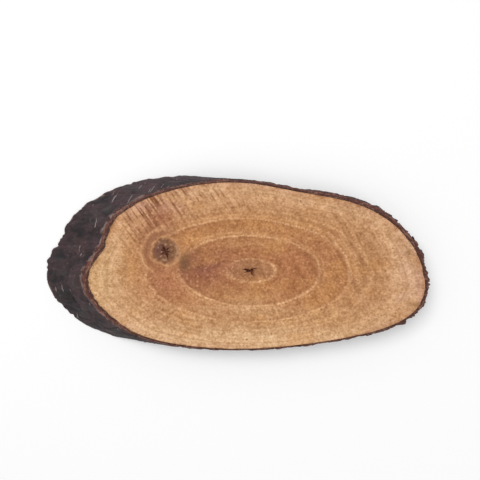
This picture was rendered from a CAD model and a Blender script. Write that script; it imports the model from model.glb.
# Dresses the wood slice: sawn wood, bark, and the small things on them, with camera, floor and light.
# Lengths are in millimetres in the dictionaries and in the node trees, and become metres at the end.
import math
from types import SimpleNamespace

import bpy
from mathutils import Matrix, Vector


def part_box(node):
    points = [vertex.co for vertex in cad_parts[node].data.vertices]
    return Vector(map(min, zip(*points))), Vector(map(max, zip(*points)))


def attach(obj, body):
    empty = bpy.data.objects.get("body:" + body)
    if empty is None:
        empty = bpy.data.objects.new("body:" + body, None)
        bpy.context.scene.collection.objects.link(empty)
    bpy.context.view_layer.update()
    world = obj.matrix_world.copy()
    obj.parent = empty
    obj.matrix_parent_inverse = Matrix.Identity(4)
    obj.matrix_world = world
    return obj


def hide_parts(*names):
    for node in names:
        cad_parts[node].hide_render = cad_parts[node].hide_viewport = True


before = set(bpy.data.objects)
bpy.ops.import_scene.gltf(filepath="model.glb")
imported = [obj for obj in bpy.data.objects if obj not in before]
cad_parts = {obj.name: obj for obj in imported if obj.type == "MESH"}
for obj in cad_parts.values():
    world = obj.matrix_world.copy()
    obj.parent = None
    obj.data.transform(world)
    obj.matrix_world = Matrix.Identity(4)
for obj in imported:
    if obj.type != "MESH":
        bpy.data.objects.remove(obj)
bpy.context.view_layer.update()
mm = 0.001

lowCorner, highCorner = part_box("wood_slice")
thickness = (highCorner[2] - lowCorner[2]) / mm

# The branch in its own cross-section, as the part has it. A swell is its direction in degrees from +X,
# its height and its width in degrees.
branch = {
    "pith": (4.6, -1.9),
    "sawAngle": 60,
    "woodRadius": 21.6,
    "swells": (
        (84, 1.7, 55), (74, -1.7, 18), (232, 0.8, 16), (286, -1.8, 36), (335, 1.8, 24), (166, -2.2, 19),
    ),
    "swellsBelow": ((104, 1.4, 30), (173, 0.5, 7), (166, 0.3, 19)),
    "swellsFade": 4,  # how fast the swells fade from the edge to the pith
    "bark": 0.9,
    "barkSwells": ((55, 0.5, 30), (180, 0.2, 30), (270, -0.3, 40)),
    "knot": (-17.7, 2.5),
    "knotRadius": 3.9,
}
sawAngle = math.radians(branch["sawAngle"])
slant = math.tan(sawAngle)
stretch = 1 / math.cos(sawAngle)
alongX = math.sin(sawAngle)
alongZ = math.cos(sawAngle)
faceShift = 9  # how far apart in the noise the two sawn faces lie, so that they differ
sharpFrom = 40  # degrees between two faces from which the edge between them stays sharp


# One socket of a node tree. Sums written with it add Math nodes, and node() adds any other node.
class Wire:
    def __init__(self, tree, socket=None):
        self.tree = tree
        self.socket = socket

    def node(self, kind, settings=None, values=None, output=0):
        made = self.tree.nodes.new(kind)
        for name, setting in (settings or {}).items():
            if name == "stops":
                fillRamp(made.color_ramp, setting)
            else:
                setattr(made, name, setting)
        for name, value in (values or {}).items():
            for each in value if isinstance(value, list) else [value]:
                if isinstance(each, Wire):
                    self.tree.links.new(each.socket, made.inputs[name])
                else:
                    made.inputs[name].default_value = each
        return Wire(self.tree, made.outputs[output])

    def other(self, output):
        return Wire(self.tree, self.socket.node.outputs[output])

    def math(self, operation, *others):
        return self.node("ShaderNodeMath", {"operation": operation}, dict(enumerate((self, *others))))

    def after(self, operation, first):
        return self.node("ShaderNodeMath", {"operation": operation}, {0: first, 1: self})

    def vector(self, operation, *others):
        return self.node("ShaderNodeVectorMath", {"operation": operation}, dict(enumerate((self, *others))))

    def scaled(self, factor):
        return self.node("ShaderNodeVectorMath", {"operation": "SCALE"}, {0: self, "Scale": factor})

    def parts(self):
        first = self.node("ShaderNodeSeparateXYZ", None, {0: self})
        return first, first.other(1), first.other(2)

    # this colour with a share of another one in it
    def mixed(self, share, colour, blend="MIX"):
        settings = {"data_type": "RGBA", "blend_type": blend, "clamp_factor": True}
        return self.node("ShaderNodeMix", settings, {0: share, 6: self, 7: colour}, 2)

    # from one colour at 0 to another at 1
    def between(self, first, second):
        return self.node("ShaderNodeMix", {"data_type": "RGBA"}, {0: self, 6: first, 7: second}, 2)

    # a colour made darker and redder below 0, lighter and paler above it
    def toned(self, amount):
        return self.vector("MULTIPLY", point(1 + amount * 0.75, 1 + amount, 1 + amount * 1.35))

    # noise about 0, from -0.5 to 0.5
    def noise(self, scale=1, detail=2, roughness=0.5):
        values = {"Vector": self, "Scale": scale, "Detail": detail, "Roughness": roughness}
        return self.node("ShaderNodeTexNoise", None, values) - 0.5

    def random(self, low, high, seed):
        return self.node("FunctionNodeRandomValue", None, {2: low, 3: high, 8: seed}, 1)

    # 0 at the first value and before it, 1 at the second and past it, whichever is the larger
    def rise(self, start, end):
        values = {0: self, 1: start, 2: end, 3: 0, 4: 1}
        return self.node("ShaderNodeMapRange", {"interpolation_type": "SMOOTHSTEP"}, values)

    # a rounded bump, 1 in the middle
    def bump(self, middle, width):
        away = (self - middle) / width
        return (-(away * away)).math("EXPONENT")

    def clamped(self):
        return self.node("ShaderNodeClamp", None, {0: self})

    def __add__(self, other):
        return self.math("ADD", other)

    def __radd__(self, other):
        return self.after("ADD", other)

    def __sub__(self, other):
        return self.math("SUBTRACT", other)

    def __rsub__(self, other):
        return self.after("SUBTRACT", other)

    def __mul__(self, other):
        return self.math("MULTIPLY", other)

    def __rmul__(self, other):
        return self.after("MULTIPLY", other)

    def __truediv__(self, other):
        return self.math("DIVIDE", other)

    def __rtruediv__(self, other):
        return self.after("DIVIDE", other)

    def __pow__(self, other):
        return self.math("POWER", other)

    def __rpow__(self, other):
        return self.after("POWER", other)

    def __neg__(self):
        return self.math("MULTIPLY", -1)

    def __abs__(self):
        return self.math("ABSOLUTE")


# A vector from three values, at least one of which is a wire
def point(x, y, z):
    wire = next(each for each in (x, y, z) if isinstance(each, Wire))
    return wire.node("ShaderNodeCombineXYZ", None, {0: x, 1: y, 2: z})


def fillRamp(ramp, stops):
    while len(ramp.elements) < len(stops):
        ramp.elements.new(1)
    for element, (place, colour) in zip(ramp.elements, stops):
        element.position = place
        element.color = colour


# A screen colour, 0 to 255 a part, as the shader's own
def paint(red, green, blue):
    return tuple(((part / 255 + 0.055) / 1.055) ** 2.4 for part in (red, green, blue)) + (1,)


def painted(colours):
    return {name: paint(*colour) for name, colour in colours.items()}


def distance(x, y):
    return (x * x + y * y).math("SQRT")


# Direction in degrees, anticlockwise from +X
def direction(x, y):
    return y.math("ARCTAN2", x).math("DEGREES")


# 1 at a direction, falling off to both sides
def arc(angle, middle, reach):
    return (angle - middle).math("WRAP", 180, -180).bump(0, reach)


def swelling(angle, swells):
    total = 0
    for middle, height, width in swells:
        total = total + arc(angle, middle, width) * height
    return total


# Dents of drying cracks that start at one point, below 0 outside them and 1 at their deepest
def starCracks(x, y, arms):
    deepest = -2
    deepestAt = 0.3  # share of an arm's length
    for heading, length, width in arms:
        cosine, sine = math.cos(math.radians(heading)), math.sin(math.radians(heading))
        along = x * cosine + y * sine
        across = y * cosine - x * sine
        dent = 1 - abs(along - length * deepestAt) / (length / 2) - abs(across) / (width / 2)
        deepest = dent.math("MAXIMUM", deepest)
    return deepest


# A tree whose inputs are the entries of a piece's dictionary that start with a capital letter
def newTree(name, sizes):
    tree = bpy.data.node_groups.new(name, "GeometryNodeTree")
    tree.interface.new_socket("Base", in_out="INPUT", socket_type="NodeSocketGeometry")
    inputs = [each for each in sizes if each[0].isupper()]
    for each in inputs:
        kind = "NodeSocketInt" if isinstance(sizes[each], int) else "NodeSocketFloat"
        tree.interface.new_socket(each, in_out="INPUT", socket_type=kind)
    tree.interface.new_socket("Piece", in_out="OUTPUT", socket_type="NodeSocketGeometry")
    entry = tree.nodes.new("NodeGroupInput")
    return tree, {each: Wire(tree, entry.outputs[each]) for each in ("Base", *inputs)}


# The last nodes of every tree: smooth faces, real meshes, material
def endTree(tree, geometry, material):
    smooth = geometry.node("GeometryNodeSetShadeSmooth", None, {"Geometry": geometry})
    real = smooth.node("GeometryNodeRealizeInstances", None, {"Geometry": smooth})
    finished = real.node("GeometryNodeSetMaterial", None, {"Geometry": real, "Material": material})
    end = tree.nodes.new("NodeGroupOutput")
    tree.links.new(finished.socket, end.inputs["Piece"])


# Runs a tree, keeps its result as a plain mesh and gives it to the frame
def growPiece(name, makeTree, material, sizes, base=None):
    tree = makeTree(material, sizes)
    start = base.data.copy() if base else bpy.data.meshes.new(name + "Start")
    maker = bpy.data.objects.new(name + "Maker", start)
    bpy.context.scene.collection.objects.link(maker)
    modifier = maker.modifiers.new("grow", "NODES")
    modifier.node_group = tree
    for socket in tree.interface.items_tree:
        if socket.name in sizes:
            modifier[socket.identifier] = sizes[socket.name]
    depsgraph = bpy.context.evaluated_depsgraph_get()
    mesh = bpy.data.meshes.new_from_object(
        maker.evaluated_get(depsgraph), preserve_all_data_layers=True, depsgraph=depsgraph
    )
    maker.modifiers.remove(modifier)
    bpy.data.objects.remove(maker)
    mesh.name = name
    mesh.set_sharp_from_angle(angle=math.radians(sharpFrom))
    piece = bpy.data.objects.new(name, mesh)
    bpy.context.scene.collection.objects.link(piece)
    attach(piece, "root")
    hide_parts("wood_slice")
    mesh.calc_loop_triangles()
    print(name, len(mesh.loop_triangles), "triangles")
    return piece


# Stores a number on the points, for the material and for later trees
def stored(geometry, name, value):
    values = {"Geometry": geometry, "Name": name, "Value": value}
    return geometry.node("GeometryNodeStoreNamedAttribute", None, values)


# A stored number in a later tree
def named(wire, name):
    return wire.node("GeometryNodeInputNamedAttribute", None, {"Name": name})


# A stored number in a material
def fromMesh(wire, name):
    return wire.node("ShaderNodeAttribute", {"attribute_name": name}, None, "Fac")


def moved(geometry, place):
    return geometry.node("GeometryNodeSetPosition", None, {"Geometry": geometry, "Position": place})


def newMaterial(name):
    material = bpy.data.materials.new(name)
    material.use_nodes = True
    return material, Wire(material.node_tree)


# Links or sets the sockets of the material's shader
def setShader(material, values):
    shader = material.node_tree.nodes["Principled BSDF"]
    for name, value in values.items():
        if isinstance(value, Wire):
            material.node_tree.links.new(value.socket, shader.inputs[name])
        else:
            shader.inputs[name].default_value = value


def bumped(height, strength, depth):
    values = {"Strength": strength, "Distance": depth * mm, "Height": height}
    return height.node("ShaderNodeBump", None, values)


# Place on the slice, in a material
def slicePlace(wire):
    return wire.node("ShaderNodeTexCoord", None, None, "Object").scaled(1 / mm).parts()


# Place in the branch's cross-section, seen from the pith, and along the branch
def branchPlace(x, y, z):
    u = (x - branch["pith"][0] - (z - thickness) * slant) / stretch
    v = y - branch["pith"][1]
    return u, v, x * alongX + z * alongZ


# The wood. Entries with a capital letter are inputs of its tree.
sawnWood = {
    "Around": 560,
    "Rings": 80,
    "Levels": 6,
    "Grain depth": 0.035,
    "Saw depth": 0.05,
    "Crack depth": 0.5,
    "bunching": 0.6,  # how much closer the rings of points are at the pith and at the knot
    "bunchedAt": 0.58,  # the knot's share of the way from pith to bark
    "sawSpacing": 1.55,
    "sawStray": 17,
    "sawCentre": (-294, -193),
    "sawBites": (  # where the blade bit most: middle and reach in X and Y, strength
        (-22, 14, 7, 6, 1.3), (-10, 18, 9, 4.5, 0.6), (-27, 8, 4, 5, 0.4), (3, 13, 9, 5, 0.25),
        (27, 3, 8, 12, 0.2), (14, -10, 12, 5, 0.2), (-4, -15, 14, 3, 0.15),
    ),
    "broadSpacing": 3.7,  # the blade's wide waves, which show most on the right
    "broadStray": 14,
    "broadBites": ((28, 2, 13, 14, 0.8), (-20, 10, 10, 8, 0.5), (6, 0, 14, 14, 0.25)),
    "ringDepth": 0.02,
    "highest": 0.03,  # no relief stands further above the sawn face
    "edgeRound": 0.1,
    "edgeFrom": 0.982,  # share of the way from pith to bark where the edge starts to round
    "knotDish": 0.15,
    "knotFloor": 2.0,  # radius of the dish's flat middle
    "knotCollar": (0.4, 0.5, 0.08),  # distance outside the knot, width, height
    "crackShake": 0.55,
    "pithCracks": ((168, 3.0, 0.8), (24, 2.6, 0.85), (302, 2.2, 1.0), (196, 2.4, 0.45), (75, 1.1, 0.5)),
    "knotCracks": (  # direction, length, width
        (291, 3.4, 0.6), (120, 2.6, 0.5), (105, 2.0, 0.6), (222, 2.6, 0.35), (40, 2.6, 0.35),
        (350, 2.4, 0.35), (318, 2.6, 0.3), (160, 2.0, 0.35),
    ),
    "knotStar": (-0.1, 0.1),  # the star's middle, from the knot's
    "knotGrowth": (0.40, 0.055, 0.28, 0.03),  # growth at its middle, rise a mm, change to below, blend
    "ringDrift": (0.62, 0.18, 0.022, -0.006),  # middle rings off centre: growth, width, lean, shift
    "paleRings": (  # growth, strength, width
        (0.142, 0.85, 0.012), (0.421, 1.0, 0.011), (0.452, 0.4, 0.009), (0.611, 0.95, 0.012),
        (0.655, 0.4, 0.012), (0.72, 0.4, 0.012), (0.865, 0.35, 0.016),
    ),
    "darkRings": (
        (0.125, 0.3, 0.014), (0.40, 0.4, 0.016), (0.592, 0.45, 0.016), (0.69, 0.35, 0.009),
        (0.745, 0.25, 0.009), (0.79, 0.35, 0.009), (0.845, 0.3, 0.009), (0.908, 0.5, 0.007),
        (0.955, 0.2, 0.01),
    ),
    "besideKnot": (172, 14),  # direction and reach where the knot hides the pale rings
    "heartStops": (  # growth, colour
        (0, (166, 118, 82)), (0.07, (172, 123, 84)), (0.13, (180, 126, 88)), (0.16, (178, 119, 78)),
        (0.4, (176, 117, 77)), (0.43, (187, 129, 86)), (0.5, (184, 127, 84)), (0.6, (185, 128, 84)),
        (0.64, (194, 142, 98)), (0.74, (197, 148, 105)), (0.84, (205, 158, 117)), (0.93, (216, 172, 132)),
        (1, (210, 165, 130)),
    ),
    "stains": (  # colour, middle and reach from the pith in X and Y, strength
        ("redHeart", -13.0, 0.8, 8.5, 5.0, 1.0), ("redHeart", -21.5, -4.2, 4.5, 3.0, 0.45),
        ("redBelow", -22.4, -3.7, 6, 4.5, 0.6), ("tan", -3, -6.8, 9, 2.6, 0.8), ("tan", 0, 7.0, 9, 1.6, 0.5),
        ("golden", -15.1, 7.6, 4.5, 2.4, 0.6), ("golden", -31, 1, 3.0, 8, 0.4),
        ("cream", 0, -17.5, 36, 4.0, 0.8), ("tan", 2, -12, 20, 2.0, 0.4), ("golden", 6, 12, 20, 2.6, 0.35),
        ("redBelow", -25, 13.5, 6.5, 4, 0.75), ("blush", 40.5, 0, 3.5, 11, 1.0),
        ("mauve", 43.7, 1.5, 1.3, 7, 0.6), ("golden", 18, -12, 10, 3, 0.25),
        ("cream", -39.5, -3, 5.5, 8, 0.85), ("blush", -29, 15, 3, 3, 0.3),
        ("olive", 42.4, -7.7, 1.8, 0.8, 0.9), ("olive", 40.6, 6.0, 0.8, 1.6, 0.7),
        ("mauve", -26, 16, 7, 1.6, 0.5), ("redBelow", -26, 6, 4.5, 7, 0.55),
        ("redBelow", -14, 4.6, 3, 2, 0.4), ("dark", -26, 7, 3.5, 5, 0.3),
        ("dark", -14.5, 4.6, 2.5, 1.6, 0.35), ("tan", -5, 9.6, 6, 1.8, 0.5),
        ("cream", 2, -10.4, 22, 2.0, 0.35), ("olive", -37.3, -1, 0.8, 7, 0.5),
    ),
    "redHeartEdge": (0.43, 0.41),  # growth where the red heart ends and where it is full
    "yellowEnd": (-27, -37),  # X where the left end starts to yellow and where it is full
    "tones": {  # how strongly each kind of grain lightens and darkens the wood
        "fine": 0.4, "bands": 0.45, "clouds": 0.45, "rays": 0.2, "fineRays": 0.22, "vessels": 0.5,
        "speck": 1.1, "grit": 0.72, "mottle": 0.7,
    },
    "knotEdge": (2.6, 3.7),
    "knotHalo": ((4.9, 0.6, 185, 62, 0.8), (4.9, 0.6, 100, 42, 0.56)),  # as in aboutKnot
    "knotOuter": ((6.3, 0.3, 205, 38, 0.6), (5.9, 0.25, 120, 30, 0.3)),
    "knotWhitish": ((3.1, 0.35, 5, 45, 1),),
    "smudgeAt": (-12.6, -0.1),
    "smudgeReach": (1.5, 2.3),
    "warmth": (1.02, 0.97, 0.9, 1),  # the whole piece's colour is multiplied by it
    "colours": {
        "pale": (230, 183, 137),
        "speckPale": (224, 178, 140),
        "speckDark": (128, 80, 46),
        "dark": (150, 98, 64),
        "olive": (158, 118, 76),
        "redHeart": (148, 92, 70),
        "redBelow": (166, 106, 78),
        "tan": (196, 146, 98),
        "golden": (208, 152, 90),
        "yellow": (214, 172, 120),
        "cream": (228, 190, 148),
        "blush": (216, 174, 142),
        "mauve": (184, 138, 124),
        "knot": (122, 86, 58),
        "knotDark": (88, 52, 46),
        "knotPurple": (116, 72, 70),
        "knotPale": (190, 150, 124),
        "knotRim": (208, 164, 122),
        "knotArc": (146, 96, 66),
        "crack": (78, 38, 22),
        "crackRed": (112, 64, 48),
        "smudge": (104, 75, 47),
    },
}


# Even steps from 0 to 1, drawn together at two radii
def bunched(share):
    turns = 4 * math.pi
    amount = sawnWood["bunching"] / turns
    shift = sawnWood["bunchedAt"]
    start = math.sin(-turns * shift)
    return share - ((share - shift) * turns).math("SINE") * amount + amount * start


# The saw marks: shallow arcs about a far centre, from -1 to 1
def sawMarks(x, y, spacing, stray):
    dx = x - sawnWood["sawCentre"][0]
    dy = y - sawnWood["sawCentre"][1]
    reach = distance(dx, dy)
    turn = dy.math("ARCTAN2", dx)
    strayed = point(reach * 0.6, turn * 14, spacing).noise(1, 2) * stray
    return (reach * (2 * math.pi / spacing) + strayed).math("SINE")


# How strongly the blade bit at a place
def sawBite(x, y, bites):
    bite = 0.08
    for middleX, middleY, reachX, reachY, strength in bites:
        bite = bite + x.bump(middleX, reachX) * y.bump(middleY, reachY) * strength
    patches = point(x * 0.3, y * 0.3, 3).noise(1, 2, 0.6).rise(-0.14, 0.14)
    return bite * (0.35 + patches * 0.95)


# Growth from the pith, 0, to the bark, 1. The rings pass round the knot.
def growthField(share, cosine, away, height):
    middle, width, lean, shift = sawnWood["ringDrift"]
    drifted = share + share.bump(middle, width) * (cosine * lean + shift)
    middle, rate, below, blend = sawnWood["knotGrowth"]
    return drifted.math("SMOOTH_MIN", middle - below * (1 - height) + away * rate, blend)


# Dents of the pith's and the knot's cracks, from the place seen from the pith and from the knot
def crackDents(pithX, pithY, knotX, knotY, layer):
    shake = point(pithX, pithY, layer)
    shakeX = shake.noise(1.1, 2) * sawnWood["crackShake"]
    shakeY = shake.vector("ADD", (31, 17, 5)).noise(1.1, 2) * sawnWood["crackShake"]
    starX, starY = sawnWood["knotStar"]
    pith = starCracks(pithX + shakeX, pithY + shakeY, sawnWood["pithCracks"])
    knot = starCracks(knotX - starX + shakeX, knotY - starY + shakeY, sawnWood["knotCracks"])
    return pith.math("MAXIMUM", knot)


# A cylinder of unit size, bent to the branch between its two cuts and given its relief
def woodTree(material, sizes):
    tree, given = newTree("sawnWoodTree", sizes)
    values = {
        "Vertices": given["Around"], "Side Segments": given["Levels"], "Fill Segments": given["Rings"],
        "Radius": 1, "Depth": 1,
    }
    drum = given["Base"].node("GeometryNodeMeshCylinder", {"fill_type": "TRIANGLE_FAN"}, values)
    px, py, pz = drum.node("GeometryNodeInputPosition").parts()
    drumRadius = distance(px, py)
    cosine = px / drumRadius
    share = bunched(drumRadius)
    angle = direction(px, py)
    height = pz + 0.5
    face = height.math("GREATER_THAN", 0.999) - height.math("LESS_THAN", 0.001)
    swell = swelling(angle, branch["swells"]) + (1 - height) * swelling(angle, branch["swellsBelow"])
    radius = share * (branch["woodRadius"] + swell * share ** branch["swellsFade"])
    pithX = cosine * radius * stretch
    pithY = py / drumRadius * radius
    x = pithX + branch["pith"][0] - (1 - height) * (thickness * slant)
    y = pithY + branch["pith"][1]
    knotX = x - branch["knot"][0]
    knotY = y - branch["knot"][1]
    away = distance(knotX, knotY)
    growth = growthField(share, cosine, away, height)

    layer = height.math("ROUND") * faceShift
    grain = point(x, y, layer).noise(1.6, 3, 0.6) - 0.25
    rings = point(growth * 24, 0, layer).noise(1, 1)
    relief = grain * given["Grain depth"] + rings * sawnWood["ringDepth"]
    marks = sawMarks(x, y, sawnWood["sawSpacing"], sawnWood["sawStray"])
    relief = relief + (marks - 1) * sawBite(x, y, sawnWood["sawBites"]) * given["Saw depth"]
    relief = relief - share.rise(sawnWood["edgeFrom"], 1) * sawnWood["edgeRound"]
    outside, width, collar = sawnWood["knotCollar"]
    relief = relief + away.bump(branch["knotRadius"] + outside, width) * collar
    relief = relief - (1 - away.rise(sawnWood["knotFloor"], branch["knotRadius"])) * sawnWood["knotDish"]
    dents = crackDents(pithX, pithY, knotX, knotY, layer).math("MAXIMUM", 0)
    relief = (relief - dents * given["Crack depth"]).math("MINIMUM", sawnWood["highest"])
    place = point(x, y, height * thickness + face * relief).scaled(mm)
    endTree(tree, moved(stored(drum, "growth", growth), place), material)
    return tree


# What the wood's colours are worked out from: places, growth, and the noises that several of them share
def woodSpot(wire):
    x, y, z = slicePlace(wire)
    u, v, along = branchPlace(x, y, z)
    growth = fromMesh(wire, "growth")
    plan = point(x, y, z * 1.5)
    section = point(u, v, along * 0.12)
    rung = growth + section.noise(0.17, 3) * 0.05
    radius = distance(u, v)
    roundX, roundY = u / radius, v / radius
    return SimpleNamespace(
        x=x, y=y, z=z, u=u, v=v, growth=growth, plan=plan, section=section, rung=rung,
        roundX=roundX, roundY=roundY,
        fine=point(rung * 26, roundX * 1.4, roundY * 1.4).noise(1, 3, 0.65),
        vessels=section.noise(4.5, 2, 0.65),
        speck=plan.noise(1.7, 1),
        grit=plan.vector("ADD", (9, 4, 2)).noise(1.3, 2),
        mottle=plan.noise(0.55, 2),
        marks=sawMarks(x, y, sawnWood["sawSpacing"], sawnWood["sawStray"]),
        bite=sawBite(x, y, sawnWood["sawBites"]),
    )


# Bands of colour from pith to bark, and the stains over them
def heartColour(wire, spot, look):
    stops = [(place, paint(*tone)) for place, tone in sawnWood["heartStops"]]
    colour = wire.node("ShaderNodeValToRGB", {"stops": stops}, {0: spot.rung})
    uneven = 1 + spot.section.noise(0.4, 3) * 2.5
    for name, middleX, middleY, reachX, reachY, strength in sawnWood["stains"]:
        stain = (spot.u * stretch).bump(middleX, reachX) * spot.v.bump(middleY, reachY) * strength
        if name == "redHeart":
            stain = stain * spot.rung.rise(*sawnWood["redHeartEdge"])
        colour = colour.mixed(stain * uneven, look[name])
    colour = colour.mixed(spot.x.rise(*sawnWood["yellowEnd"]) * 0.55, look["yellow"])
    colour = colour.mixed(spot.section.noise(0.15, 2).rise(0.02, 0.2) * 0.35, look["golden"])
    patches = spot.section.noise(0.24, 3).rise(0.06, 0.25) * spot.growth.rise(0.5, 0.7)
    return colour.mixed(patches * 0.3, look["olive"])


# Growth rings, broken up round the branch
def ringColour(colour, spot, look):
    tones = sawnWood["tones"]
    bands = point(spot.rung * 10, spot.roundX * 1.3, spot.roundY * 1.3).noise(1, 2)
    clouds = spot.plan.noise(0.28, 2)
    colour = colour.toned(spot.fine * tones["fine"] + bands * tones["bands"] + clouds * tones["clouds"])
    broken = point(spot.roundX * 2.6, spot.roundY * 2.6, spot.growth * 4).noise(1, 3).rise(-0.16, 0.12)
    broken = broken * (0.6 + spot.speck * 3).clamped()
    for at, strength, width in sawnWood["darkRings"]:
        colour = colour.mixed(spot.rung.bump(at, width) * (0.2 + broken * 0.8) * strength, look["dark"])
    seen = (0.4 + broken * 0.6) * (1 - arc(direction(spot.u * stretch, spot.v), *sawnWood["besideKnot"]))
    for at, strength, width in sawnWood["paleRings"]:
        colour = colour.mixed(spot.rung.bump(at, width) * seen * strength, look["pale"])
    return colour


# Rays and vessels, saw marks, specks and pores
def grainColour(colour, spot, look):
    tones = sawnWood["tones"]
    rays = point(spot.roundX * 42, spot.roundY * 42, spot.growth * 2.5).noise(1, 1)
    fineRays = point(spot.roundX * 170, spot.roundY * 170, spot.growth * 7).noise(1, 1)
    amount = rays * tones["rays"] + fineRays * tones["fineRays"] + spot.vessels * tones["vessels"]
    colour = colour.toned(amount).mixed(spot.vessels.rise(-0.08, -0.22) * 0.45, look["dark"])
    waves = sawMarks(spot.x, spot.y, sawnWood["broadSpacing"], sawnWood["broadStray"]).rise(0.2, -0.95)
    colour = colour.mixed(waves * sawBite(spot.x, spot.y, sawnWood["broadBites"]) * 0.45, look["dark"])
    colour = colour.mixed(spot.marks.rise(0.1, -0.95) * spot.bite * 0.72, look["dark"])
    colour = colour.mixed(spot.marks.rise(-0.3, -1) * (spot.bite - 0.45) * 0.75, look["speckDark"])
    colour = colour.mixed(spot.marks.rise(0.3, 0.95) * spot.bite * 0.32, look["pale"])
    amount = spot.speck * tones["speck"] + spot.grit * tones["grit"] + spot.mottle * tones["mottle"]
    colour = colour.toned(amount).mixed(spot.speck.rise(0.08, 0.3) * 0.45, look["speckPale"])
    colour = colour.mixed(spot.grit.rise(0.08, 0.3) * 0.6, look["speckDark"])
    cells = {"Vector": spot.plan, "Scale": 0.55, "Randomness": 1}
    pores = 1 - spot.plan.node("ShaderNodeTexVoronoi", None, cells).rise(0.06, 0.16)
    return colour.mixed(pores * spot.mottle.rise(-0.05, 0.1) * 0.75, look["speckDark"])


# Parts of rings about the knot: distance from its middle, width, direction, reach, strength
def aboutKnot(edge, heading, rings):
    total = 0
    for away, width, middle, reach, strength in rings:
        total = total + edge.bump(away, width) * arc(heading, middle, reach) * strength
    return total


def knotColour(colour, spot, look):
    dx = spot.x - branch["knot"][0]
    dy = spot.y - branch["knot"][1]
    away = distance(dx, dy)
    heading = direction(dx, dy)
    edge = away + spot.plan.noise(0.4, 2) * 2
    spokes = point(dx / away * 3, dy / away * 3, away * 0.8).noise(1, 3, 0.75)
    colour = colour.mixed(aboutKnot(edge, heading, sawnWood["knotHalo"]), look["knotArc"])
    colour = colour.mixed(aboutKnot(edge, heading, sawnWood["knotOuter"]), look["pale"])
    inside = 1 - edge.rise(*sawnWood["knotEdge"])
    colour = colour.mixed(inside * 0.8, look["knot"])
    colour = colour.mixed(inside * dx.bump(-1.6, 1.3) * dy.bump(0.6, 2) * 0.65, look["knotPurple"])
    colour = colour.mixed(inside * (1 - edge.rise(0.8, 2.6)) * 0.45, look["knotDark"])
    colour = colour.mixed(inside * (spokes + spot.speck * 0.6).rise(0.03, 0.2) * 0.75, look["knotPale"])
    colour = colour.mixed(inside * (spokes + spot.grit * 0.6).rise(-0.03, -0.2) * 0.8, look["knotDark"])
    rim = edge.bump(3.7, 0.3) * (0.3 + spokes.rise(-0.1, 0.15) * 0.4)
    colour = colour.mixed(rim, look["knotRim"])
    whitish = aboutKnot(edge, heading, sawnWood["knotWhitish"]) * (0.55 + spot.speck * 2)
    colour = colour.mixed(whitish, look["knotPale"])
    (smudgeX, smudgeY), (reachX, reachY) = sawnWood["smudgeAt"], sawnWood["smudgeReach"]
    smudge = spot.x.bump(smudgeX, reachX) * spot.y.bump(smudgeY, reachY) * (1 + spot.mottle * 2.5)
    return colour.mixed(smudge * 0.85, look["smudge"])


# The pith's greyed wood, the cracks, and the stained edge under the bark
def crackColour(colour, spot, look):
    core = distance(spot.u * 1.2, spot.v * 1.6).bump(0, 1.9) * (0.35 + spot.grit * 1.5)
    colour = colour.mixed(core, look["dark"])
    knotX, knotY = spot.x - branch["knot"][0], spot.y - branch["knot"][1]
    layer = (spot.z / thickness).math("ROUND") * faceShift
    dents = crackDents(spot.u * stretch, spot.v, knotX, knotY, layer)
    colour = colour.mixed((dents + 0.45).rise(0, 0.6) * 0.6, look["crackRed"])
    colour = colour.mixed(dents.rise(0, 0.3), look["crack"])
    stained = spot.growth.rise(0.965, 1) * spot.plan.noise(0.3, 2).rise(-0.1, 0.15)
    return colour.mixed(stained * 0.45, look["dark"])


def sawnWoodMaterial():
    material, wire = newMaterial("sawnWood")
    look = painted(sawnWood["colours"])
    spot = woodSpot(wire)
    colour = heartColour(wire, spot, look)
    for layer in (ringColour, grainColour, knotColour, crackColour):
        colour = layer(colour, spot, look)
    height = spot.speck * 0.8 + spot.fine * 0.3 + spot.marks * spot.bite * 0.3 + spot.vessels * 0.5
    setShader(material, {
        "Base Color": colour.mixed(1, sawnWood["warmth"], "MULTIPLY"), "Roughness": 0.68 + spot.speck * 0.25,
        "Normal": bumped(height, 0.7, 0.08), "Specular IOR Level": 0.3,
    })
    return material


# The bark, a closed sheet that wraps the wood's side. Entries with a capital letter are inputs of its tree.
barkCoat = {
    "Around": 840,
    "Rim rows": 9,
    "Skin rows": 28,
    "Ridge height": 0.17,
    "Wrinkle": 0.16,
    "Plate step": 0.14,
    "Plate groove": 0.12,
    "Chip depth": 0.35,
    "Tooth depth": 0.35,
    "gap": 0.3,  # between the wood and the dried bark at the sawn face, at its widest
    "sunk": 0.5,  # how deep the bark's inner wall runs into the wood
    "rimDrop": 0.18,  # how far the rim's outer edge lies below the sawn face
    "rimSunk": 0.07,  # how far all of the rim does
    "layerDepth": 0.3,
    "ridgeSpacing": 1.8,
    "creaseDepth": 0.25,
    "creaseSpacing": 5.2,
    "drawnOut": 4.5,  # how many times longer the ridges are along the branch than round it
    "plateSize": 5.0,
    "lowerTeeth": 0.1,  # the lower rim's teeth and chips, as shares of the upper rim's
    "lowerChips": 0.3,
    "snags": (  # torn places of the upper rim: direction, how far out, width in degrees
        (328, 0.55, 1.7), (331, -0.25, 1.2), (17, 0.3, 5), (23, -0.2, 1.5), (47, 0.2, 2),
    ),
    "peeled": (126, 26, 0.1),  # where the outer bark has worn off beside the rim: direction, reach, share
    "colours": {
        "skin": (66, 47, 51),
        "skinDark": (32, 25, 27),
        "skinBrown": (74, 50, 48),
        "skinGreen": (56, 56, 55),
        "skinGrey": (120, 104, 106),
        "inner": (108, 62, 50),
        "innerFar": (102, 57, 48),
        "innerDark": (70, 36, 27),
        "innerPale": (150, 112, 96),
        "outer": (64, 43, 42),
        "edge": (140, 124, 120),
    },
}


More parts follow.
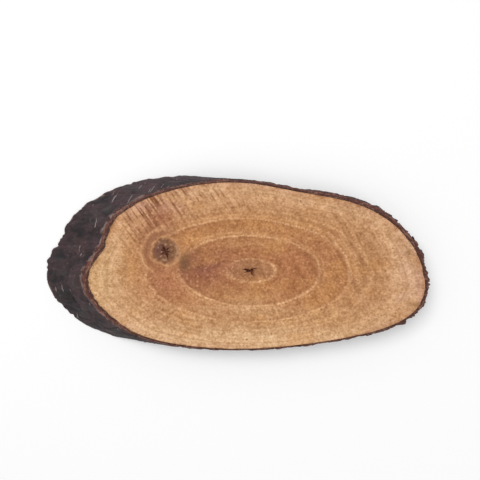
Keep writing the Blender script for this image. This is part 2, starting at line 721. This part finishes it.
# Ridges, creases, wrinkles and plates of the outer bark, and each plate's own tone
def barkRelief(ax, ay, along, cosine, given):
    drawn = point(ax, ay, along / barkCoat["drawnOut"])
    near = point(ax, ay, along / 2)
    ridges = drawn.noise(1 / barkCoat["ridgeSpacing"], 2, 0.6)
    creases = abs(drawn.noise(1 / barkCoat["creaseSpacing"], 1))
    relief = ridges * given["Ridge height"] * 2 - (1 - creases.rise(0, 0.08)) * barkCoat["creaseDepth"]
    relief = relief + near.noise(1.3, 3, 0.6) * given["Wrinkle"] * (1.5 + cosine * 0.5)
    bent = near.node("ShaderNodeTexNoise", None, {"Vector": near, "Scale": 0.5}, 1)
    cells = {"Vector": near.vector("ADD", bent), "Scale": 1 / barkCoat["plateSize"], "Randomness": 1}
    plateTone = near.node("ShaderNodeTexVoronoi", None, cells, 1).parts()[0]
    cracks = near.node("ShaderNodeTexVoronoi", {"feature": "DISTANCE_TO_EDGE"}, cells)
    relief = relief + (plateTone - 0.5) * given["Plate step"]
    return relief - (1 - cracks.rise(0, 0.07)) * given["Plate groove"], plateTone


# A flat sheet, rolled round the branch. From its middle row, which halves the outer bark, its rows run over
# the outer bark to the upper and the lower rim, across it, and down to where the two meet in the wood.
def barkTree(material, sizes):
    tree, given = newTree("barkTree", sizes)
    rimRows, skinRows = given["Rim rows"], given["Skin rows"]
    rows = (1 + rimRows + skinRows) * 2
    values = {"Size X": 1, "Size Y": 1, "Vertices X": given["Around"] + 1, "Vertices Y": rows + 1}
    sheet = given["Base"].node("GeometryNodeMeshGrid", None, values)
    px, py = sheet.node("GeometryNodeInputPosition").parts()[:2]
    turn = (px + 0.5) * (2 * math.pi)
    cosine = turn.math("COSINE")
    sine = turn.math("SINE")
    angle = direction(cosine, sine)
    row = (py + 0.5) * rows
    mirrored = row.math("MINIMUM", rows - row)
    upper = py.math("LESS_THAN", 0) * 2 - 1
    rim = ((mirrored - 1) / rimRows).clamped()
    wall = 1 - mirrored.clamped()
    down = ((mirrored - 1 - rimRows) / skinRows).clamped()
    height = 0.5 + upper * (1 - down) * (1 - wall) * 0.5

    swell = swelling(angle, branch["swells"]) + (1 - height) * swelling(angle, branch["swellsBelow"])
    wood = swell + branch["woodRadius"]
    ax = cosine * branch["woodRadius"]
    ay = sine * branch["woodRadius"]
    along = wood * cosine * (stretch * alongX) - (1 - height) * (thickness * slant * alongX)
    along = along + height * (thickness * alongZ)
    relief, plateTone = barkRelief(ax, ay, along, cosine, given)

    # how far out each point lies, from the coat's thickness, the drying gap and the torn edge
    coat = swelling(angle, branch["barkSwells"]) + branch["bark"]
    opening = point(ax, ay, upper * 3).noise(0.35, 3, 0.6).rise(-0.2, 0.2)
    gap = (1 - rim) * (1 - wall) * (opening * barkCoat["gap"] - 0.02)
    teeth = point(ax, ay, upper * 6).noise(1.9, 2, 0.7).rise(0, 0.25) * given["Tooth depth"]
    teeth = teeth * (0.6 + cosine * 0.4) * lowerShare(upper, barkCoat["lowerTeeth"])
    radius = wood + rim * coat + gap - wall * barkCoat["sunk"] + rim ** 4 * relief
    torn = swelling(angle, barkCoat["snags"]) * upper.math("MAXIMUM", 0)
    radius = radius + (torn - teeth) * rim ** 3 * (1 - down * 6).clamped()

    # how far each rim drops from its sawn face, by chips and by the layers of the inner bark
    chips = point(ax, ay, upper * 4).noise(0.55, 3, 0.7).rise(0, 0.3) * given["Chip depth"]
    chips = chips * lowerShare(upper, barkCoat["lowerChips"])
    layers = point(ax * 0.4, ay * 0.4, rim * 5 + upper * 7).noise(1, 3, 0.7) * barkCoat["layerDepth"]
    drop = rim ** 2 * (chips + barkCoat["rimDrop"]) - layers * (1 - wall) * rim.rise(0, 0.2)
    z = height * thickness - upper * (1 - down) * (1 - wall) * (drop + barkCoat["rimSunk"])
    x = radius * cosine * stretch + branch["pith"][0] - (1 - z / thickness) * (thickness * slant)
    y = radius * sine + branch["pith"][1]

    shaped = stored(stored(stored(sheet, "depth", rim), "down", down), "plate", plateTone)
    shaped = moved(shaped, point(x, y, z).scaled(mm))
    shaped = shaped.node("GeometryNodeMergeByDistance", None, {"Geometry": shaped, "Distance": 0.001 * mm})
    shaped = shaped.node("GeometryNodeFlipFaces", None, {"Mesh": shaped})
    endTree(tree, shaped, material)
    return tree


# 1 on the upper rim, where upper is 1, and the given share on the lower one, where it is -1
def lowerShare(upper, share):
    return (1 + share) / 2 + upper * ((1 - share) / 2)


# The outer bark: near black, with brown, green and grey patches and grey flecks
def skinColour(skin, band, fleck, plate, look):
    colour = skin.noise(0.3, 3, 0.6).rise(-0.16, 0.12).between(look["skinDark"], look["skin"])
    colour = colour.mixed(skin.noise(0.17, 3).rise(0, 0.2) * 0.5, look["skinBrown"])
    green = skin.vector("ADD", (5, 9, 3)).noise(0.2, 2).rise(0.03, 0.2)
    colour = colour.mixed(green * 0.6, look["skinGreen"])
    colour = colour.mixed(band.noise(0.9, 4, 0.75).rise(0.08, 0.28) * 0.4, look["skinGrey"])
    colour = colour.scaled(1 + fleck * 2.1 + (plate - 0.5) * 0.45)
    return colour.mixed(fleck.rise(0.1, 0.27) * 0.5, look["skinGrey"])


# Across the sawn rim: a dark line, red-brown inner bark, dark outer bark and here and there a pale edge
def rimColour(x, y, u, v, skin, fleck, depth, look):
    heading = direction(u, v)
    place = depth + point(u, v, 0).noise(0.5, 3) * 0.7
    colour = arc(heading, 190, 75).between(look["innerFar"], look["inner"])
    colour = colour.mixed(place.rise(0.46, 0.2), look["innerDark"])
    colour = colour.mixed(place.rise(0.6, 0.8), look["outer"])
    strips = point(u * 0.35, v * 0.35, depth * 4).noise(1, 3, 0.7)
    crumbly = strips + point(x, y, depth * 2).noise(1.1, 3, 0.7)
    colour = colour.mixed(crumbly.rise(0.03, 0.18) * 0.7, look["innerPale"])
    colour = colour.mixed(crumbly.rise(0, -0.14) * 0.8, look["innerDark"])
    palest = place.bump(0.85, 0.12) * (0.25 + arc(heading, 160, 60) * 0.75)
    colour = colour.mixed(palest * skin.noise(0.5, 2).rise(-0.1, 0.1) * 0.85, look["edge"])
    return colour.scaled(1 + fleck * 1.3)


def barkMaterial():
    material, wire = newMaterial("bark")
    x, y, z = slicePlace(wire)
    u, v, along = branchPlace(x, y, z)
    look = painted(barkCoat["colours"])
    skin = point(u, v, along * 0.6)
    band = point(u * 0.5, v * 0.5, along * 1.5)
    fleck = skin.noise(1.3, 3, 0.65)
    outer = skinColour(skin, band, fleck, fromMesh(wire, "plate"), look)
    cut = rimColour(x, y, u, v, skin, fleck, fromMesh(wire, "depth"), look)
    middle, reach, share = barkCoat["peeled"]
    peeled = arc(direction(u, v), middle, reach) * (0.5 + skin.noise(0.8, 3, 0.7) * 2.5) * share
    colour = outer.mixed(1 - (fromMesh(wire, "down") - peeled).rise(0, 0.04), cut)
    height = fleck * 0.6 + skin.noise(1.1, 3, 0.6)
    setShader(material, {
        "Base Color": colour, "Roughness": 0.7 + fleck * 0.4, "Normal": bumped(height, 0.7, 0.14),
        "Specular IOR Level": 0.4,
    })
    return material


# The corky pores of the bark, long across the branch
lenticels = {
    "Density": 26000,
    "Seed": 4,
    "Width": 0.42,
    "Height": 0.15,
    "Shortest": 0.6,
    "Longest": 2.0,
    "flatness": 0.02,  # half the thickness of a pore before its height is added
    "placed": (  # direction from the pith, height in the slice, length
        (128, 0.38, 5.6), (131.5, 0.9, 4.6), (119, 0.72, 3.0), (149, 0.86, 2.6), (167, 0.94, 1.8),
        (196, 0.55, 2.2),
    ),
    "colours": {"cork": (132, 121, 121), "corkDark": (90, 77, 79), "corkPale": (176, 166, 164)},
}


# A place just outside the bark
def besideBark(heading, height):
    reach = branch["woodRadius"] + branch["bark"] * 2
    x = reach * math.cos(math.radians(heading)) * stretch + branch["pith"][0]
    y = reach * math.sin(math.radians(heading)) + branch["pith"][1]
    return Vector((x - (1 - height) * thickness * slant, y, height * thickness)) * mm


# A value of the base mesh at the point of its surface nearest to each point
def nearest(base, value):
    values = {"Mesh": base, "Value": value, "Sample Position": base.node("GeometryNodeInputPosition")}
    return base.node("GeometryNodeSampleNearestSurface", {"data_type": "FLOAT_VECTOR"}, values)


# Puts a shape on points, turned to an axis and a second one, and roughens each copy on its own
def scattered(points, shape, upward, sideways, size, roughness):
    axes = {"primary_axis": "Z", "secondary_axis": "X"}
    turn = points.node("FunctionNodeAxesToRotation", axes, {0: upward, 1: sideways})
    values = {"Points": points, "Instance": shape, "Rotation": turn, "Scale": size.scaled(mm)}
    copies = points.node("GeometryNodeInstanceOnPoints", None, values)
    real = points.node("GeometryNodeRealizeInstances", None, {"Geometry": copies})
    where = points.node("GeometryNodeInputPosition").scaled(1 / mm)
    shove = points.node("ShaderNodeTexNoise", None, {"Vector": where, "Scale": 3}, 1)
    x, y, z = where.vector("ADD", shove.vector("SUBTRACT", (0.5, 0.5, 0.5)).scaled(roughness)).parts()
    highest = 0.15  # no copy stands further above the sawn face
    z = z.math("MINIMUM", thickness + highest).math("MAXIMUM", 0)
    return moved(real, point(x, y, z).scaled(mm))


def lenticelTree(material, sizes):
    tree, given = newTree("lenticelTree", sizes)
    skin = given["Base"]
    values = {
        "Mesh": skin, "Selection": named(skin, "down").rise(0.08, 0.1), "Density": given["Density"],
        "Seed": given["Seed"],
    }
    points = skin.node("GeometryNodeDistributePointsOnFaces", None, values)
    points = [stored(points, "length", skin.random(given["Shortest"], given["Longest"], given["Seed"]))]
    for heading, height, length in sizes["placed"]:
        spot = skin.node("GeometryNodePoints", None, {"Position": besideBark(heading, height)})
        points.append(stored(spot, "length", length))
    joined = skin.node("GeometryNodeJoinGeometry", None, {"Geometry": points})
    onSkin = nearest(skin, skin.node("GeometryNodeInputPosition"))
    normal = nearest(skin, skin.node("GeometryNodeInputNormal"))
    lens = skin.node("GeometryNodeMeshUVSphere", None, {"Segments": 20, "Rings": 6})
    lens = stored(lens, "lift", skin.node("GeometryNodeInputPosition").parts()[2])
    length = named(skin, "length")
    size = point(length / 2, given["Width"] * (0.3 + length * 0.06), sizes["flatness"])
    across = normal.vector("CROSS_PRODUCT", (alongX, 0, alongZ))
    copies = scattered(moved(joined, onSkin), lens, normal, across, size, 0.3)
    lift = normal.scaled(named(skin, "lift") * given["Height"] * mm)
    endTree(tree, moved(copies, onSkin.vector("ADD", lift)), material)
    return tree


def corkMaterial():
    material, wire = newMaterial("cork")
    place = point(*branchPlace(*slicePlace(wire)))
    look = painted(lenticels["colours"])
    colour = place.noise(0.4, 3).rise(-0.25, 0.08).between(look["corkDark"], look["cork"])
    grit = place.noise(3.5, 3, 0.7)
    colour = colour.mixed(grit.rise(0.02, 0.2) * 0.7, look["corkPale"]).scaled(1 + grit * 0.8)
    setShader(material, {
        "Base Color": colour, "Roughness": 0.85 + grit * 0.2, "Normal": bumped(grit, 0.6, 0.06),
        "Specular IOR Level": 0.25,
    })
    return material


# Scales of outer bark that have come loose along the sawn rims
flakes = {
    "Density": 190000,
    "Seed": 11,
    "Smallest": 0.5,
    "Largest": 1.2,
    "Thickness": 0.1,
    "narrowness": (0.35, 0.7),  # least and most width for a scale's length
    "tilt": 0.4,
    "band": (0.015, 0.16),  # where they sit, as shares of the way from a rim to the middle row
    "spread": ((20, 38, 1.0), (295, 40, 0.5)),  # direction, reach, how many
}


def flakeTree(material, sizes):
    tree, given = newTree("flakeTree", sizes)
    skin = given["Base"]
    x, y, z = skin.node("GeometryNodeInputPosition").scaled(1 / mm).parts()
    u, v = branchPlace(x, y, z)[:2]
    angle = direction(u, v)
    spread = 0
    for middle, reach, many in sizes["spread"]:
        spread = spread + arc(angle, middle, reach) * many
    down = named(skin, "down")
    nearer, further = sizes["band"]
    edge = down.math("GREATER_THAN", nearer) * down.math("LESS_THAN", further)
    chosen = edge * skin.random(0, 1, 5).math("LESS_THAN", spread)
    values = {"Mesh": skin, "Selection": chosen, "Density": given["Density"], "Seed": given["Seed"]}
    points = skin.node("GeometryNodeDistributePointsOnFaces", None, values)
    normal = points.other(1)
    ball = skin.node("GeometryNodeMeshUVSphere", None, {"Segments": 12, "Rings": 6})
    sx, sy, sz = skin.node("GeometryNodeInputPosition").parts()
    scale = moved(ball, point(sx, sy, sz + sx * sx * 1.8 + sy * sy * 0.8))
    wide = skin.random(given["Smallest"], given["Largest"], given["Seed"])
    size = point(wide, wide * skin.random(*sizes["narrowness"], 3), given["Thickness"] / 2)
    lean = sizes["tilt"]
    tilt = point(skin.random(-lean, lean, 7), skin.random(-lean, lean, 8), skin.random(-0.2, 0.5, 9))
    upward = normal.vector("ADD", tilt)
    sideways = normal.vector("CROSS_PRODUCT", (alongX, 0, alongZ)).vector("ADD", tilt)
    endTree(tree, scattered(points, scale, upward, sideways, size, 0.35), material)
    return tree


# Short torn fibres and crumbs along the edge of the wood, and sawdust caught in the sawn faces
fibres = {
    "Share": 0.24,
    "Seed": 21,
    "Shortest": 0.2,
    "Longest": 0.7,
    "Thickness": 0.09,
    "Dust density": 16000,
    "Dust size": 0.2,
    "edgeFrom": 0.985,  # growth from which the wood counts as its edge
    "edgeHeight": 0.3,  # how far from a sawn face the fibres sit at most
    "strewn": 0.6,
    "colours": {"fibre": (198, 152, 110), "fibreDark": (146, 100, 70), "fibrePale": (226, 190, 156)},
}


def fibreTree(material, sizes):
    tree, given = newTree("fibreTree", sizes)
    wood = given["Base"]
    x, y, z = wood.node("GeometryNodeInputPosition").scaled(1 / mm).parts()
    middle = thickness / 2
    rim = abs(z - middle).math("GREATER_THAN", middle - sizes["edgeHeight"])
    rim = named(wood, "growth").math("GREATER_THAN", sizes["edgeFrom"]) * rim
    chosen = rim * wood.random(0, 1, given["Seed"]).math("LESS_THAN", given["Share"])
    points = wood.node("GeometryNodeMeshToPoints", None, {"Mesh": wood, "Selection": chosen})
    values = {"Vertices": 6, "Side Segments": 3, "Radius Bottom": 1, "Depth": 2}
    spike = wood.node("GeometryNodeMeshCone", None, values)
    sx, sy, sz = wood.node("GeometryNodeInputPosition").parts()
    spike = moved(spike, point(sx + sz * sz * 2.5, sy, sz))
    outward = point((x - branch["pith"][0]) / 40, (y - branch["pith"][1]) / 20, 0)
    far = sizes["strewn"]
    strew = point(wood.random(-far, far, 2), wood.random(-far, far, 3), wood.random(-0.25, 0.3, 4))
    thick = given["Thickness"] * wood.random(0.5, 1.2, 6)
    size = point(thick / 2, thick / 2, wood.random(given["Shortest"], given["Longest"], 5) / 2)
    torn = scattered(points, spike, outward.vector("ADD", strew), (0, 0, 1), size, 0.12)

    level = wood.node("GeometryNodeInputNormal").parts()[2].math("GREATER_THAN", 0.8)
    values = {"Mesh": wood, "Selection": level, "Density": given["Dust density"], "Seed": given["Seed"]}
    spots = wood.node("GeometryNodeDistributePointsOnFaces", None, values)
    grain = wood.node("GeometryNodeMeshIcoSphere", None, {"Subdivisions": 1})
    big = given["Dust size"] * wood.random(0.3, 1, 12) / 2
    size = point(big * wood.random(0.7, 1.8, 13), big, big * 0.7)
    turned = point(wood.random(-1, 1, 14), wood.random(-1, 1, 15), 0.2)
    dust = scattered(spots, grain, (0, 0, 1), turned, size, 0.05)
    endTree(tree, wood.node("GeometryNodeJoinGeometry", None, {"Geometry": [torn, dust]}), material)
    return tree


def fibreMaterial():
    material, wire = newMaterial("tornFibre")
    x, y, z = slicePlace(wire)
    u, v = branchPlace(x, y, z)[:2]
    look = painted(fibres["colours"])
    place = point(x, y, z)
    colour = place.noise(0.5, 2).rise(-0.12, 0.1).between(look["fibreDark"], look["fibre"])
    inner = 1 - distance(u, v).rise(16, 19)
    colour = colour.mixed(inner * 0.75, look["fibrePale"]).scaled(1 + place.noise(4, 2) * 0.9)
    setShader(material, {
        "Base Color": colour, "Roughness": 0.75 + place.noise(2, 2) * 0.3, "Specular IOR Level": 0.25,
        "Normal": bumped(place.noise(6, 2), 0.5, 0.03),
    })
    return material


# Camera, floor and light. A light is its name, place, size and power in watts.
studio = {
    "cameraOver": (1.5, 6),
    "cameraAbove": 138,
    "cameraTurn": 1.5,
    "cameraNearest": 10,
    "seenAcross": 124,
    "floor": (250, 250, 250),
    "floorGlow": 0.11,
    "floorSize": 3000,
    "floorDrop": 0.05,
    "sky": 0.45,
    "lights": (
        ("key", (-160, 170, 420), 260, 1.0),
        ("fill", (260, -120, 380), 320, 0.45),
    ),
}


def layFloor():
    material = newMaterial("paleFloor")[0]
    setShader(material, {
        "Base Color": paint(*studio["floor"]), "Roughness": 0.9, "Specular IOR Level": 0.1,
        "Emission Color": (1, 1, 1, 1), "Emission Strength": studio["floorGlow"],
    })
    place = (0, 0, -studio["floorDrop"] * mm)
    bpy.ops.mesh.primitive_plane_add(size=studio["floorSize"] * mm, location=place)
    floor = bpy.context.object
    floor.name = "floor"
    floor.data.materials.append(material)


def hangLights(scene):
    world = bpy.data.worlds.new("studio")
    world.use_nodes = True
    world.node_tree.nodes["Background"].inputs["Color"].default_value = (1, 1, 1, 1)
    world.node_tree.nodes["Background"].inputs["Strength"].default_value = studio["sky"]
    scene.world = world
    for name, place, size, power in studio["lights"]:
        light = bpy.data.lights.new(name, "AREA")
        light.size = size * mm
        light.energy = power
        lamp = bpy.data.objects.new(name, light)
        lamp.location = Vector(place) * mm
        lamp.rotation_euler = (-Vector(place)).to_track_quat("-Z", "Y").to_euler()
        scene.collection.objects.link(lamp)


# Looks straight down, as the photo does
def placeCamera(scene):
    camera = bpy.data.cameras.new("camera")
    camera.lens = camera.sensor_width * studio["cameraAbove"] / studio["seenAcross"]
    camera.clip_start = studio["cameraNearest"] * mm
    eye = bpy.data.objects.new("camera", camera)
    overX, overY = studio["cameraOver"]
    eye.location = Vector((overX, overY, thickness + studio["cameraAbove"])) * mm
    eye.rotation_euler = (0, 0, math.radians(studio["cameraTurn"]))
    scene.collection.objects.link(eye)
    scene.camera = eye


def buildStudio():
    scene = bpy.context.scene
    scene.view_settings.view_transform = "Standard"
    layFloor()
    hangLights(scene)
    placeCamera(scene)
    print("studio ready")


buildStudio()
wood = growPiece("sawnWood", woodTree, sawnWoodMaterial(), sawnWood)
barkPaint = barkMaterial()
bark = growPiece("bark", barkTree, barkPaint, barkCoat)
growPiece("lenticels", lenticelTree, corkMaterial(), lenticels, bark)
growPiece("barkFlakes", flakeTree, barkPaint, flakes, bark)
growPiece("tornFibres", fibreTree, fibreMaterial(), fibres, wood)

print("sizes written")
